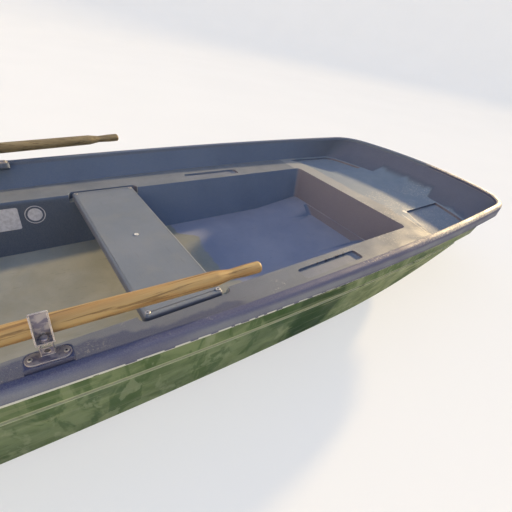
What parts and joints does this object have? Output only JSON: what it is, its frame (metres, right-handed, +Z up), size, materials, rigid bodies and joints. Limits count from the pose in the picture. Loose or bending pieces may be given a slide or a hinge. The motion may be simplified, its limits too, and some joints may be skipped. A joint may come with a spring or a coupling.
{
  "type": "rowing boat",
  "caption": "Moulded double-skinned rowing boat with a blunt bow, raised rim, cockpit with a thwart, and oars pinned in swivelling oarlocks.",
  "frame": {"origin": "under the middle of the length, at the bottom of the runners", "axes": "+X towards the bow, +Y to port, +Z up"},
  "size_m": [4.0516, 1.4836, 0.5893],
  "materials": {
    "hull": "mottled green moulding",
    "liner": "satin grey blue moulding",
    "boss": "satin grey blue moulding",
    "bead": "pale trim",
    "thwart": "satin grey moulding",
    "screws": "plain steel",
    "plug": "pale plastic",
    "ply": "varnished plywood",
    "black_plastic": "black plastic",
    "galvanized": "galvanized, weathered",
    "oar_wood": "varnished softwood, worn"
  },
  "bodies": {
    "boat": {"hull_shell": "hull", "inner_liner": "liner", "seam_bead": "bead", "thwart": "thwart", "thwart_screws": "screws", "thwart_plug": "plug", "motor_pad_outer": "ply", "motor_pad_inner": "ply", "drain_plug": "black_plastic", "bow_eye": "galvanized", "lock_boss_port": "boss", "lock_plate_port": "galvanized", "lock_screws_port": "screws", "lock_boss_starboard": "boss", "lock_plate_starboard": "galvanized", "lock_screws_starboard": "screws"},
    "oarlock_port": {"lock_yoke_port": "galvanized", "oar_bolt_port": "galvanized"},
    "oar_port": {"oar_port": "oar_wood"},
    "oarlock_starboard": {"lock_yoke_starboard": "galvanized", "oar_bolt_starboard": "galvanized"},
    "oar_starboard": {"oar_starboard": "oar_wood"}
  },
  "joints": [
    {"name": "port_swivel", "type": "hinge", "parent": "boat", "child": "oarlock_port", "pos_m": [-0.673, 0.606, 0.5143], "axis": [0, 0, -1], "range_deg": [0, 150]},
    {"name": "port_oar_tilt", "type": "hinge", "parent": "oarlock_port", "child": "oar_port", "pos_m": [-0.67902, 0.642, 0.5273], "axis": [-0.165, 0.9863, 0], "range_deg": [0, 3]},
    {"name": "starboard_swivel", "type": "hinge", "parent": "boat", "child": "oarlock_starboard", "pos_m": [-0.673, -0.606, 0.5143], "axis": [0, 0, 1], "range_deg": [0, 150]},
    {"name": "starboard_oar_tilt", "type": "hinge", "parent": "oarlock_starboard", "child": "oar_starboard", "pos_m": [-0.67096, -0.56956, 0.5273], "axis": [0.0558, 0.9984, 0], "range_deg": [0, 3]}
  ]
}
